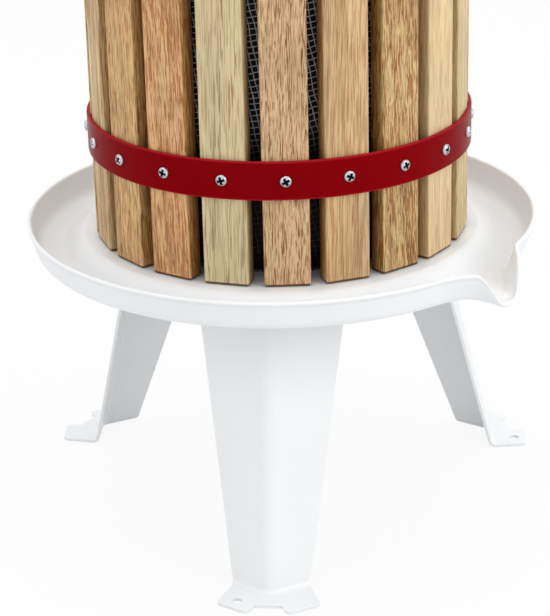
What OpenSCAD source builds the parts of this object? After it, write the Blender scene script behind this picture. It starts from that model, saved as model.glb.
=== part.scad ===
// Fruit press: a basket of staves stands in a spouted tray on three folded legs.
// A nut with two arms runs down a fixed spindle and drives boards and blocks into the basket.
// Millimetres, +Z up, origin on the ground below the spindle, front leg towards -Y.

/* [Tray] */
// Height of the tray floor, where the staves stand, above the ground
seat_z = 206; // [190:1:230]
// Flat floor left outside the staves before it slopes down
seat_margin = 7; // [5:0.5:12]
// Width of the slope from the flat floor down to the gutter
slope_w = 20; // [14:1:28]
// Depth of the gutter below the flat floor
gutter_depth = 12; // [8:0.5:15]
// Width of the level bottom of the gutter
gutter_w = 8.5; // [5:0.5:14]
// Radius of the bend from the gutter into the wall
wall_bend_r = 8; // [5:0.5:10]
// Steepness of the wall, from level
wall_lean = 74; // [60:1:78]
// Height of the rim above the flat floor
rim_h = 7.5; // [5:0.5:14]
// Radius of the rim's rounded edge
bead_r = 1.6; // [1.2:0.1:2.4]
// Thickness of the tray's sheet
tray_t = 1.5; // [1:0.1:2.5]

/* [Spout] */
// Direction of the spout, anticlockwise from +X
spout_az = -36; // [-45:1:-20]
// Half of the angle over which the rim runs out into the spout
spout_half = 11.5; // [10:0.5:16]
// How far the lip of the spout reaches beyond the rim
spout_reach = 16; // [10:1:26]
// Fall of the spout's channel from the gutter to the lip
spout_fall = 5.5; // [3:0.5:9]

/* [Legs] */
// Distance of the fold's top end inside the edge of the flat floor
leg_inset = 15; // [12:1:22]
// How much further out the fold is at the ground than at the top
leg_splay = 54.5; // [40:0.5:70]
// Angle of each wing back from square to the fold
wing_sweep = 30; // [22:1:36]
// Half of the leg's width at the top
leg_top_half = 52.5; // [44:0.5:56]
// Half of the leg's width at the ground
leg_foot_half = 25.5; // [20:0.5:32]
// Thickness of the leg's sheet
leg_t = 2; // [1.5:0.1:3]
// How far each foot lobe reaches out from its wing
lobe_reach = 26; // [20:0.5:32]
// How much narrower each foot lobe is at its outer corner than at its wing
lobe_taper = 3; // [0:0.5:6]
// Corner radius of the foot lobes
lobe_corner = 5; // [3:0.5:7]
// How far the web between the lobes reaches out from the fold
web_reach = 13; // [8:0.5:17]
// Radius of the screw hole in each foot
foot_hole_r = 3.5; // [2.5:0.1:4.5]
// Place of the foot hole along its wing, from the fold
foot_hole_along = 15; // [10:0.5:19]
// Place of the foot hole outwards from its wing
foot_hole_out = 17; // [10:0.5:19]
// Width of the tabs that fasten the leg under the tray
tab_w = 26; // [20:1:30]
// Length of those tabs
tab_l = 22; // [18:1:24]
// Radius of the weld studs that hold the tabs
stud_r = 3; // [2.5:0.5:4]
// Length of the weld studs
stud_l = 14; // [12:1:20]

/* [Basket] */
// Number of staves
stave_n = 20; // [16:1:22]
// Distance from the axis to the staves' outer faces
basket_r = 130; // [124:1:140]
// Width of a stave
stave_w = 30.5; // [26:0.5:32]
// Thickness of a stave
stave_t = 13; // [12:0.5:18]
// Length of a stave
stave_h = 300; // [280:5:340]
// Width of the eased edges of a stave
stave_edge = 1.5; // [0.5:0.1:2.5]
// Turn of the basket, from the front anticlockwise to the nearest stave
basket_turn = 5.9; // [0:0.1:18]
// Height of each hoop's middle from the nearer end of the staves
hoop_inset = 74; // [50:1:110]
// Width of the hoop's flat bar
hoop_w = 26; // [20:0.5:32]
// Thickness of the hoop's flat bar
hoop_t = 2.5; // [2:0.1:4]
// Radius of the hoop screws' shanks
screw_r = 1.75; // [1.5:0.05:2]
// Length of the hoop screws below the head
screw_l = 14; // [12:0.5:14.5]
// Radius of the hoop screws' heads
screw_head_r = 3.9; // [3:0.1:5]
// Height of the hoop screws' heads
screw_head_h = 2.4; // [1.8:0.1:3]

/* [Bag] */
// Thickness of the net
bag_t = 0.8; // [0.6:0.1:1.5]
// Gap between the bag and the staves
bag_gap = 1.2; // [0.6:0.1:3]
// Radius of the bag's lower corner
bag_corner = 12; // [6:1:20]
// Distance of the bag's hem below the top of the staves
bag_drop = 12; // [5:1:40]
// Gap between the hole in the bag's bottom and the spindle's collar
bag_hole_gap = 4; // [2:0.5:8]

/* [Spindle] */
// Radius of the spindle over its thread
spindle_r = 10; // [9:0.5:11]
// Advance of the nut in one turn of the handle
spindle_lead = 5; // [4:0.5:6]
// Radius of the collar on the spindle above the tray
collar_r = 16; // [15:0.5:18]
// Height of that collar
collar_h = 6; // [4:0.5:9]
// Thickness of the rubber seal under the collar
seal_t = 1.5; // [1:0.1:3]
// Radius of the support plate under the tray
plate_r = 66; // [50:1:68]
// Thickness of the support plate
plate_t = 4; // [3:0.5:6]
// Spindle left bare above the nut at the top of its travel
spindle_spare = 12; // [6:1:30]
// Spindle left bare below its lower nut
spindle_tail = 5; // [2:0.5:10]

/* [Boards and blocks] */
// Gap between the boards and the rounded corner of the bag
board_gap = 1; // [0.5:0.5:6]
// Thickness of the boards
board_t = 18; // [14:1:24]
// Gap between the two half boards
board_split = 3; // [1:0.5:6]
// Gap between the boards and the spindle's collar
board_bore_gap = 2; // [1:0.5:4]
// Width of a block
block_w = 42; // [30:1:44]
// Height of a block
block_h = 45; // [35:1:50]
// Gap between the spindle and the blocks beside it
block_gap = 3; // [2:0.5:6]
// Length of the lower blocks
lower_block_l = 170; // [140:1:175]
// Length of the upper blocks
upper_block_l = 130; // [110:1:150]

/* [Head] */
// Radius of the pressure foot's bearing face
foot_r = 48; // [42:1:54]
// Height of the pressure foot's rim
foot_rim_h = 8; // [6:0.5:10]
// Height of the pressure foot at its hub
foot_hub_h = 16; // [14:0.5:20]
// Radius of the nut's neck, which turns in the foot
neck_r = 15; // [14:0.5:16]
// Radius of the nut's body
nut_r = 23; // [21:0.5:26]
// Height of the nut's body above the thrust washer
nut_h = 64; // [56:1:72]
// Height of the arms' axis above the underside of the foot
arm_axis_h = 56; // [50:1:62]
// Radius of the arms
arm_r = 8; // [7:0.5:9]
// Reach of each arm from the axis
arm_reach = 226; // [190:1:250]
// Reach of the arm sockets on the nut from the axis
socket_reach = 42; // [36:1:50]
// Wall of the arm sockets
socket_wall = 5; // [4:0.5:6]
// Radius of the pins that hold the arms
pin_r = 2.5; // [2:0.1:3]
// Length of each grip
grip_l = 92; // [70:1:100]
// Largest radius of a grip
grip_r = 15; // [13:0.5:18]
// Solid end of a grip beyond the arm
grip_end = 9; // [5:0.5:14]

/* [Travel] */
// How far the basket can be lifted under the arms
basket_lift = 30; // [10:1:40]
// Turns of the handle from its lowest to its highest place
handle_turns = 14; // [8:1:16]

/* [Clearances] */
// Room under loose pieces where they rest
rest_clear = 0.2; // [0.1:0.05:0.4]
// Room round pieces that turn or slide on each other
run_clear = 0.06; // [0.02:0.01:0.1]
// Room round pins, shanks and studs in their holes
hole_clear = 0.3; // [0.1:0.05:0.6]
// Room between the hoop and the staves' edges
hoop_clear = 0.1; // [0.05:0.01:0.3]
// Room above and below the pressure foot on its neck
thrust_clear = 0.15; // [0.1:0.05:0.3]
// Room between the arms at their lowest and the lifted basket
arm_clear = 4; // [2:0.5:10]

/* [Hidden] */
$fn = 48;
leg_names = ["leg_front", "leg_right", "leg_left"];
leg_az = [-90, 30, 150];
stave_names = [for (i = [1:stave_n]) str("stave_", i < 10 ? "0" : "", i)];

enamel = [0.93, 0.94, 0.95];
hoop_red = [0.55, 0.03, 0.06];
oak = [0.80, 0.63, 0.40];
beech = [0.83, 0.67, 0.47];
zinc = [0.74, 0.76, 0.79];
steel = [0.58, 0.59, 0.61];
cast_red = [0.48, 0.04, 0.06];
net_grey = [0.45, 0.45, 0.46];
rubber_black = [0.08, 0.08, 0.09];

// Tray levels and radii, from the basket outwards
seat_r = basket_r + seat_margin;
gutter_r0 = seat_r + slope_w;
gutter_r1 = gutter_r0 + gutter_w;
gutter_z = seat_z - gutter_depth;
rim_z = seat_z + rim_h;
bend_end = [gutter_r1 + wall_bend_r * sin(wall_lean), gutter_z + wall_bend_r * (1 - cos(wall_lean))];
rim_r = bend_end[0] + (rim_z - bend_end[1]) / tan(wall_lean);
bead_set = 0.3;
bead_centre = [rim_r + bead_r * bead_set, rim_z];
bead_arc = [170, -70];
under_z = seat_z - tray_t;
spout_root_r = gutter_r0 + gutter_w / 2;
spout_seam = 0.03;
// Angles within which the spout's lip is full, and past which its sides are up again
lip_flat = 3;
lip_half = spout_half - 0.5;
channel_flat = 1.4;
channel_half = spout_half * 0.66;
// Past the faces that cutting shapes cut
cut = 1;
slope_steps = 8;
bend_steps = 5;
bead_steps = 12;
spout_steps = 24;
bag_steps = 6;

// Basket levels
stave_z = seat_z + rest_clear;
basket_top = stave_z + stave_h;
stave_edge_r = norm([basket_r, stave_w / 2 - stave_edge]);
hoop_ir = stave_edge_r + hoop_clear;
hoop_or = hoop_ir + hoop_t;
pilot_spare = 0.5;
hoop_z = [stave_z + hoop_inset, basket_top - hoop_inset];
bag_r = basket_r - stave_t - bag_gap;
bag_hole_r = collar_r + bag_hole_gap;
bag_top = basket_top - bag_drop;

// Leg fold, at the tray's underside and at the ground
fold_top_r = seat_r - leg_inset;
fold_foot_r = fold_top_r + leg_splay;
wing_top_z = under_z - leg_t / 2;
tab_middle = leg_top_half / cos(wing_sweep) / 2;
stud_share = 0.55;
lobe_slit = 2;
// Washers and nuts in the proportions of the common metric ones
washer_t = 1.6;
washer_r = 2 * stud_r;
stud_nut_h = 1.65 * stud_r;
stud_nut_r = 1.92 * stud_r;

// Spindle and its fastening below the tray
plate_z = under_z - plate_t;
spindle_washer_t = 3;
spindle_washer_r = 1.9 * spindle_r;
spindle_nut_h = 1.6 * spindle_r;
spindle_nut_r = 1.73 * spindle_r;
spindle_foot_z = plate_z - spindle_washer_t - spindle_nut_h - spindle_tail;
collar_z = seat_z + seal_t;

// Boards and blocks
board_z = seat_z + bag_t + rest_clear;
board_r = bag_r - bag_corner - board_gap;
board_bore_r = collar_r + board_bore_gap;
block_mid = spindle_r + block_gap + block_w / 2;
lower_block_z = board_z + board_t;
upper_block_z = lower_block_z + block_h;

// Head, at the bottom of its travel
head_travel = spindle_lead * handle_turns;
arm_z = basket_top + basket_lift + arm_clear + arm_r;
foot_z = arm_z - arm_axis_h;
ring_t = 1.5;
ring_proud = 2.6;
ring_r = neck_r + ring_proud;
groove_d = 1;
ring_groove_r = neck_r - groove_d;
recess_gap = 1.5;
recess_r = ring_r + recess_gap;
recess_h = 6;
neck_end_h = 1.5;
lead_in = 1;
ring_h = recess_h - thrust_clear - ring_t;
thrust_t = 2;
thrust_proud = 1;
thrust_r = nut_r + thrust_proud;
thrust_h = foot_hub_h + thrust_clear;
nut_base_h = thrust_h + thrust_t;
nut_top_h = nut_base_h + nut_h;
nut_bore_r = spindle_r + run_clear;
socket_r = arm_r + socket_wall;
root_wall = 4;
arm_root = spindle_r + root_wall;
root_clear = 0.5;
pin_shift = 3;
pin_x = (arm_root + socket_reach) / 2 + pin_shift;
grip_tip = arm_reach + grip_end;
grip_wall = 3;
grip_swell = 150;
grip_steps = 8;
spindle_top = foot_z + nut_top_h + head_travel + spindle_spare;

// Smooth step from 0 to 1
function ease(u) = (1 - cos(180 * max(0, min(1, u)))) / 2;
// Smooth hill over an angle: 1 within flat of the middle, 0 beyond half
function hill(delta, flat, half) = ease((half - abs(delta)) / (half - flat));
function unit(v) = v / norm(v);
// Points of an arc about c, from angle a0 to a1
function arc(c, r, a0, a1, n) = [for (i = [0:n]) let (a = a0 + (a1 - a0) * i / n) c + r * [cos(a), sin(a)]];
// Corner b of an outline, between a and c, replaced by an arc of radius r
function corner(a, b, c, r, n = 6) =
  let (u = unit(a - b), v = unit(c - b), half = acos(u * v) / 2)
  let (o = b + unit(u + v) * r / sin(half), s = b + u * r / tan(half) - o, e = b + v * r / tan(half) - o)
  let (a0 = atan2(s[1], s[0]), turn = atan2(s[0] * e[1] - s[1] * e[0], s * e))
  arc(o, r, a0, a0 + turn, n);

// Sheet from the gutter outwards: upper face, bead and lower face as one closed outline.
// Across the spout the wall lies down into a channel and carries the bead with it.
function wall_line(t, root_r) = concat(
  [[root_r, gutter_z - t], [gutter_r1, gutter_z - t]],
  [for (i = [1:bend_steps]) let (a = wall_lean * i / bend_steps)
    [gutter_r1 + (wall_bend_r + t) * sin(a), gutter_z + wall_bend_r - (wall_bend_r + t) * cos(a)]]);
function laid_down(p, t, out, down) =
  let (q = max(0, min(1, (p[0] - gutter_r1) / (rim_r - gutter_r1))))
  [p[0] + spout_reach * out * q, p[1] * (1 - down) + down * (gutter_z - t - spout_fall * q)];
function wall_section(root_r, out = 0, down = 0) =
  let (upper = [for (p = wall_line(0, root_r)) laid_down(p, 0, out, down)])
  let (lower = [for (p = wall_line(tray_t, root_r)) laid_down(p, tray_t, out, down)])
  let (shift = [spout_reach * out, down * (gutter_z - spout_fall - rim_z)])
  let (bead = [for (p = arc(bead_centre, bead_r, bead_arc[0], bead_arc[1], bead_steps)) p + shift])
  concat(upper, bead, [for (i = [len(lower) - 1:-1:0]) lower[i]]);

function floor_line(t) = [for (i = [0:slope_steps]) let (u = i / slope_steps)
  [seat_r + slope_w * u, seat_z - gutter_depth * ease(u) - t]];

module tray_body() {
  lower = floor_line(tray_t);
  wall = wall_section(gutter_r0);
  bore = spindle_r + hole_clear;
  rotate_extrude($fn = 120)
    polygon(concat(
      [[bore, seat_z]], floor_line(0), [for (i = [1:len(wall) - 2]) wall[i]],
      [for (i = [slope_steps:-1:0]) lower[i]], [[bore, under_z]]));
}

// Opening in the tray's edge for the spout
module spout_cut() {
  far = rim_r + spout_reach;
  low = gutter_z - 4 * tray_t;
  translate([0, 0, low])
    rotate([0, 0, spout_az - spout_half])
      rotate_extrude(angle = 2 * spout_half, $fn = 120)
        translate([spout_root_r, 0])
          square([far - spout_root_r, rim_z + 2 * bead_r - low]);
}

// The spout is set into that opening with a seam all round
module spout_body() {
  half = spout_half - asin(spout_seam / spout_root_r);
  turns = [for (i = [0:spout_steps]) half * (2 * i / spout_steps - 1)];
  rings = [for (d = turns)
    let (out = hill(d, lip_flat, lip_half), down = hill(d, channel_flat, channel_half))
    wall_section(spout_root_r + spout_seam, out, down)];
  m = len(rings[0]);
  points = [for (i = [0:spout_steps]) let (a = spout_az + turns[i]) for (p = rings[i])
    [p[0] * cos(a), p[0] * sin(a), p[1]]];
  sides = [for (i = [0:spout_steps - 1]) for (j = [0:m - 1])
    let (a = i * m + j, b = i * m + (j + 1) % m)
    each [[a, a + m, b], [b, a + m, b + m]]];
  first = [for (j = [0:m - 1]) j];
  last = [for (j = [m - 1:-1:0]) spout_steps * m + j];
  polyhedron(points, concat(sides, [first, last]));
}

module tray() {
  color(enamel) {
    difference() {
      tray_body();
      spout_cut();
    }
    spout_body();
  }
}

// Section of a leg: two wings swept back from the fold
function wings(fold_r, half) =
  let (n = leg_t * [cos(wing_sweep), sin(wing_sweep)], end_r = fold_r - half * tan(wing_sweep))
  [[fold_r, 0], [end_r, half], [end_r - n[0], half - n[1]],
   [fold_r - leg_t / cos(wing_sweep), 0], [end_r - n[0], n[1] - half], [end_r, -half]];

module leg_wings() {
  top = wings(fold_top_r, leg_top_half);
  bottom = wings(fold_foot_r, leg_foot_half);
  points = concat([for (p = bottom) [p[0], p[1], 0]], [for (p = top) [p[0], p[1], wing_top_z]]);
  sides = [for (j = [0:5]) let (k = (j + 1) % 6) [j, j + 6, k + 6, k]];
  ends = [[0, 1, 2, 3], [0, 3, 4, 5], [9, 8, 7, 6], [11, 10, 9, 6]];
  polyhedron(points, concat(sides, ends));
}

// A point at a distance along one wing from the fold and out from it; side is 1 or -1
function by_wing(fold_r, side, along, out) =
  [fold_r - along * sin(wing_sweep) + out * cos(wing_sweep),
   side * (along * cos(wing_sweep) + out * sin(wing_sweep))];

function half_foot(side) =
  let (wing_l = leg_foot_half / cos(wing_sweep))
  let (root = by_wing(fold_foot_r, side, wing_l, 0))
  let (tip = by_wing(fold_foot_r, side, wing_l - lobe_taper, lobe_reach))
  let (outer = by_wing(fold_foot_r, side, lobe_slit, lobe_reach))
  let (web = [fold_foot_r + web_reach, side * web_reach * tan(wing_sweep)])
  concat([root], corner(root, tip, outer, lobe_corner), corner(tip, outer, web, lobe_corner), [web]);

module foot_flange() {
  left = half_foot(-1);
  right = half_foot(1);
  inner = [for (i = [2:4]) wings(fold_foot_r, leg_foot_half)[i]];
  linear_extrude(leg_t)
    polygon(concat(left, [for (i = [len(right) - 1:-1:0]) right[i]], inner));
}

module tab_at(side) {
  place = by_wing(fold_top_r, side, tab_middle, 0);
  translate([place[0], place[1], under_z - leg_t])
    rotate([0, 0, side * wing_sweep])
      translate([-tab_l, -tab_w / 2, 0])
        cube([tab_l - leg_t / 2, tab_w, leg_t]);
}

function stud_place(side) = by_wing(fold_top_r, side, tab_middle, -tab_l * stud_share);

module leg(az) {
  hole = by_wing(fold_foot_r, -1, foot_hole_along, foot_hole_out);
  color(enamel)
    rotate([0, 0, az])
      difference() {
        union() {
          leg_wings();
          foot_flange();
          tab_at(1);
          tab_at(-1);
        }
        translate([hole[0], hole[1], -leg_t])
          cylinder(r = foot_hole_r, h = 3 * leg_t);
        for (side = [-1, 1])
          translate([stud_place(side)[0], stud_place(side)[1], under_z - 2 * leg_t])
            cylinder(r = stud_r + hole_clear, h = 3 * leg_t);
      }
}

// Places something at all six studs
module at_studs() {
  for (az = leg_az, side = [-1, 1])
    rotate([0, 0, az])
      translate([stud_place(side)[0], stud_place(side)[1], under_z - leg_t])
        children();
}

module leg_studs() {
  color(zinc)
    at_studs()
      translate([0, 0, leg_t - stud_l])
        cylinder(r = stud_r, h = stud_l);
}

module leg_washers() {
  color(zinc)
    at_studs()
      translate([0, 0, -washer_t])
        difference() {
          cylinder(r = washer_r, h = washer_t);
          translate([0, 0, -cut])
            cylinder(r = stud_r + hole_clear, h = washer_t + 2 * cut);
        }
}

module hex_nut(r, h, bore) {
  difference() {
    cylinder(r = r, h = h, $fn = 6);
    translate([0, 0, -cut])
      cylinder(r = bore, h = h + 2 * cut);
  }
}

module leg_nuts() {
  color(zinc)
    at_studs()
      translate([0, 0, -washer_t - stud_nut_h])
        hex_nut(stud_nut_r, stud_nut_h, stud_r + run_clear);
}

module support_plate() {
  edge = plate_t / 4;
  bore = spindle_r + hole_clear;
  color(steel)
    rotate_extrude()
      polygon([[bore, plate_z], [plate_r - edge, plate_z], [plate_r, plate_z + edge],
        [plate_r, under_z], [bore, under_z]]);
}

module spindle() {
  tip = spindle_r * 0.2;
  color(steel)
    rotate_extrude()
      polygon([[0, spindle_foot_z], [spindle_r - tip, spindle_foot_z], [spindle_r, spindle_foot_z + tip],
        [spindle_r, collar_z], [collar_r, collar_z], [collar_r, collar_z + collar_h - tip],
        [collar_r - tip, collar_z + collar_h], [spindle_r, collar_z + collar_h],
        [spindle_r, spindle_top - tip], [spindle_r - tip, spindle_top], [0, spindle_top]]);
}

module ring(inner_r, outer_r, z, h) {
  translate([0, 0, z])
    difference() {
      cylinder(r = outer_r, h = h);
      translate([0, 0, -cut])
        cylinder(r = inner_r, h = h + 2 * cut);
    }
}

module spindle_seal() {
  color(rubber_black)
    ring(spindle_r + hole_clear, collar_r, seat_z, seal_t);
}

module spindle_washer() {
  color(zinc)
    ring(spindle_r + hole_clear, spindle_washer_r, plate_z - spindle_washer_t, spindle_washer_t);
}

module spindle_nut() {
  color(zinc)
    translate([0, 0, plate_z - spindle_washer_t - spindle_nut_h])
      hex_nut(spindle_nut_r, spindle_nut_h, spindle_r + run_clear);
}

module press_bag() {
  centre = [bag_r - bag_corner, seat_z + bag_corner];
  color(net_grey)
    rotate_extrude($fn = 96)
      polygon(concat(
        [[bag_hole_r, seat_z]], arc(centre, bag_corner, -90, 0, bag_steps),
        [[bag_r, bag_top], [bag_r - bag_t, bag_top]],
        arc(centre, bag_corner - bag_t, 0, -90, bag_steps), [[bag_hole_r, seat_z + bag_t]]));
}

function stave_az(i) = -90 + basket_turn + 360 * i / stave_n;

module stave(i) {
  inner = basket_r - stave_t;
  half = stave_w / 2;
  pilot = hoop_or - screw_l - pilot_spare;
  color(oak)
    rotate([0, 0, stave_az(i)])
      difference() {
        translate([0, 0, stave_z])
          linear_extrude(stave_h)
            polygon([[inner + stave_edge, -half], [basket_r - stave_edge, -half],
              [basket_r, stave_edge - half], [basket_r, half - stave_edge],
              [basket_r - stave_edge, half], [inner + stave_edge, half],
              [inner, half - stave_edge], [inner, stave_edge - half]]);
        for (z = hoop_z)
          translate([pilot, 0, z])
            rotate([0, 90, 0])
              cylinder(r = screw_r + run_clear, h = hoop_or - pilot);
      }
}

module hoop(z) {
  edge = hoop_t * 0.2;
  color(hoop_red)
    difference() {
      translate([0, 0, z - hoop_w / 2])
        rotate_extrude($fn = 120)
          polygon([[hoop_ir, 0], [hoop_or - edge, 0], [hoop_or, edge], [hoop_or, hoop_w - edge],
            [hoop_or - edge, hoop_w], [hoop_ir, hoop_w]]);
      for (i = [0:stave_n - 1])
        rotate([0, 0, stave_az(i)])
          translate([hoop_ir - cut, 0, z])
            rotate([0, 90, 0])
              cylinder(r = screw_r + hole_clear, h = hoop_t + 2 * cut);
    }
}

module hoop_screws(z) {
  flank = screw_head_h * 0.35;
  color(zinc)
    for (i = [0:stave_n - 1])
      rotate([0, 0, stave_az(i)])
        translate([hoop_or, 0, z])
          rotate([0, 90, 0])
            rotate_extrude()
              polygon([[0, -screw_l], [screw_r, 2 * screw_r - screw_l], [screw_r, 0], [screw_head_r, 0],
                [screw_head_r, flank], [screw_head_r * 0.8, screw_head_h * 0.8],
                [screw_head_r * 0.45, screw_head_h], [0, screw_head_h]]);
}

module press_board(side) {
  color(oak)
    translate([0, 0, board_z])
      difference() {
        cylinder(r = board_r, h = board_t, $fn = 96);
        translate([0, 0, -cut])
          cylinder(r = board_bore_r, h = board_t + 2 * cut);
        translate([side > 0 ? board_split / 2 - 2 * board_r : -board_split / 2, -board_r - cut, -cut])
          cube([2 * board_r, 2 * (board_r + cut), board_t + 2 * cut]);
      }
}

// A block along X with its long upper and lower edges eased
module block(length) {
  edge = block_w * 0.06;
  half = block_w / 2;
  rotate([90, 0, 90])
    translate([0, 0, -length / 2])
      linear_extrude(length)
        polygon([[edge - half, 0], [half - edge, 0], [half, edge], [half, block_h - edge],
          [half - edge, block_h], [edge - half, block_h], [-half, block_h - edge], [-half, edge]]);
}

module lower_block(side) {
  color(beech)
    translate([0, side * block_mid, lower_block_z])
      block(lower_block_l);
}

module upper_block(side) {
  color(beech)
    translate([side * block_mid, 0, upper_block_z])
      rotate([0, 0, 90])
        block(upper_block_l);
}

module pressure_foot() {
  edge = foot_rim_h / 4;
  hub_r = nut_r + edge;
  bore = neck_r + run_clear;
  color(cast_red)
    translate([0, 0, foot_z])
      rotate_extrude($fn = 96)
        polygon([[recess_r, 0], [foot_r - edge, 0], [foot_r, edge], [foot_r, foot_rim_h],
          [hub_r + 2 * edge, foot_hub_h - edge], [hub_r, foot_hub_h], [bore, foot_hub_h], [bore, recess_h],
          [recess_r, recess_h]]);
}

module thrust_washer() {
  color(zinc)
    ring(neck_r + run_clear, thrust_r, foot_z + thrust_h, thrust_t);
}

module retaining_ring() {
  gap = neck_r * 0.35;
  color(zinc)
    difference() {
      ring(ring_groove_r + run_clear, ring_r, foot_z + ring_h, ring_t);
      translate([0, -gap, foot_z + ring_h - cut])
        cube([2 * ring_r, 2 * gap, ring_t + 2 * cut]);
    }
}

module nut_body() {
  edge = nut_r * 0.12;
  rotate_extrude($fn = 96)
    polygon([[nut_bore_r, neck_end_h], [neck_r - lead_in, neck_end_h], [neck_r, neck_end_h + lead_in],
      [neck_r, ring_h - run_clear], [ring_groove_r, ring_h - run_clear],
      [ring_groove_r, ring_h + ring_t + run_clear], [neck_r, ring_h + ring_t + run_clear],
      [neck_r, nut_base_h], [nut_r, nut_base_h], [nut_r, nut_top_h - edge], [nut_r - edge, nut_top_h],
      [nut_bore_r + lead_in, nut_top_h], [nut_bore_r, nut_top_h - lead_in]]);
}

module press_nut() {
  color(cast_red)
    translate([0, 0, foot_z])
      difference() {
        union() {
          nut_body();
          difference() {
            translate([-socket_reach, 0, arm_axis_h])
              rotate([0, 90, 0])
                cylinder(r = socket_r, h = 2 * socket_reach);
            translate([0, 0, arm_axis_h - socket_r - cut])
              cylinder(r = (nut_bore_r + nut_r) / 2, h = 2 * (socket_r + cut));
          }
        }
        for (side = [0, 180])
          rotate([0, 0, side]) {
            translate([arm_root - root_clear, 0, arm_axis_h])
              rotate([0, 90, 0])
                cylinder(r = arm_r + run_clear, h = socket_reach);
            translate([pin_x, 0, arm_axis_h - socket_r - cut])
              cylinder(r = pin_r + run_clear, h = 2 * (socket_r + cut));
          }
      }
}

module handle_arm(turn) {
  color(steel)
    translate([0, 0, arm_z])
      rotate([0, 0, turn])
        difference() {
          translate([arm_root, 0, 0])
            rotate([0, 90, 0])
              cylinder(r = arm_r, h = arm_reach - arm_root);
          translate([pin_x, 0, -socket_r])
            cylinder(r = pin_r + run_clear, h = 2 * socket_r);
        }
}

module arm_pins() {
  color(zinc)
    for (turn = [0, 180])
      rotate([0, 0, turn])
        translate([pin_x, 0, arm_z - socket_r])
          cylinder(r = pin_r, h = 2 * socket_r);
}

// A turned grip: slim at the collar, full in the middle, rounded at the end
module grip(turn) {
  inner = grip_tip - grip_l;
  slim = arm_r + grip_wall;
  bulge = [for (i = [0:grip_steps]) let (u = i / grip_steps)
    [slim + (grip_r - slim) * sin(grip_swell * u), inner + grip_wall + (grip_l - grip_wall - grip_end) * u]];
  last = bulge[grip_steps][0];
  end = [for (i = [1:bend_steps]) let (a = 90 * i / bend_steps)
    [last * cos(a), grip_tip - grip_end * (1 - sin(a))]];
  color(rubber_black)
    translate([0, 0, arm_z])
      rotate([0, 90, turn])
        rotate_extrude()
          polygon(concat(
            [[arm_r + run_clear, inner], [slim - lead_in, inner], [slim, inner + lead_in]], bulge, end,
            [[0, arm_reach + run_clear], [arm_r + run_clear, arm_reach + run_clear]]));
}

tray();
for (i = [0:2]) leg(leg_az[i]);
leg_studs();
leg_washers();
leg_nuts();
support_plate();
spindle();
spindle_seal();
spindle_washer();
spindle_nut();
press_bag();
for (i = [0:stave_n - 1]) stave(i);
hoop(hoop_z[0]);  // lower_hoop
hoop(hoop_z[1]);  // upper_hoop
hoop_screws(hoop_z[0]);  // lower_hoop_screws
hoop_screws(hoop_z[1]);  // upper_hoop_screws
press_board(-1);  // press_board_left
press_board(1);  // press_board_right
lower_block(-1);  // lower_block_front
lower_block(1);  // lower_block_back
upper_block(-1);  // upper_block_left
upper_block(1);  // upper_block_right
pressure_foot();
thrust_washer();
retaining_ring();
press_nut();
handle_arm(180);  // handle_arm_left
handle_arm(0);  // handle_arm_right
arm_pins();
grip(180);  // grip_left
grip(0);  // grip_right
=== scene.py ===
"""Fruit press: an oak stave basket in red hoops on a white spouted tray with three folded legs.

Metres in the scene, millimetres in the sizes below, +Z up, the spindle on the Z axis, the front leg to -Y.
"""
from math import radians

import bmesh
import bpy
import numpy as np
from mathutils import Matrix


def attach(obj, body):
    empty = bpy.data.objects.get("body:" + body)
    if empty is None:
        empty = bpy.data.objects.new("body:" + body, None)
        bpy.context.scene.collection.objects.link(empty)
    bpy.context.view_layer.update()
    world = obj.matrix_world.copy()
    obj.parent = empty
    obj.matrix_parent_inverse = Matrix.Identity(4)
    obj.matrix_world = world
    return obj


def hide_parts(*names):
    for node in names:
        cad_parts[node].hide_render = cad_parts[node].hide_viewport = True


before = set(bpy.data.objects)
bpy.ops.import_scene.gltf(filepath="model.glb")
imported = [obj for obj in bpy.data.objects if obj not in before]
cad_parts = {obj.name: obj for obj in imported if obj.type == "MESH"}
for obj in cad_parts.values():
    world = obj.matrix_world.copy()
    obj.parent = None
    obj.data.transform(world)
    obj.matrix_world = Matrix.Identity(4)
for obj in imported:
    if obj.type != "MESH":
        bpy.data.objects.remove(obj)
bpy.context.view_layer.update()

MM = 0.001
TURN, QUARTER = 2 * np.pi, np.pi / 2
# Degrees past which two faces meet in a hard edge
SHARP = 35
# Metres within which points are merged, and below which an edge is dropped
MERGE, SLIVER = 2e-6, 1e-7
# Gaps round what passes through a hole, and round what runs in a bore
HOLE_GAP, RUN_GAP = 0.3, 0.06

# Tray
SEAT_Z, SEAT_R, SLOPE_W, GUTTER_D, GUTTER_W = 206.0, 137.0, 20.0, 12.0, 8.5
BEND_R, WALL_LEAN, RIM_H, TRAY_T = 8.0, radians(74), 7.5, 1.5
BEAD_R, BEAD_OUT, BEAD_ARC = 1.6, 0.48, (170, -70)
SPOUT_AZ, SPOUT_REACH, SPOUT_FALL = -36.0, 18.5, 3.5
# Degrees from the spout's middle where its lip and its channel are full, and where they end
LIP_FLAT, LIP_HALF, CHANNEL_FLAT, CHANNEL_HALF = 0.0, 14.2, 1.7, 7.6
UNDER_Z = SEAT_Z - TRAY_T
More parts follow.
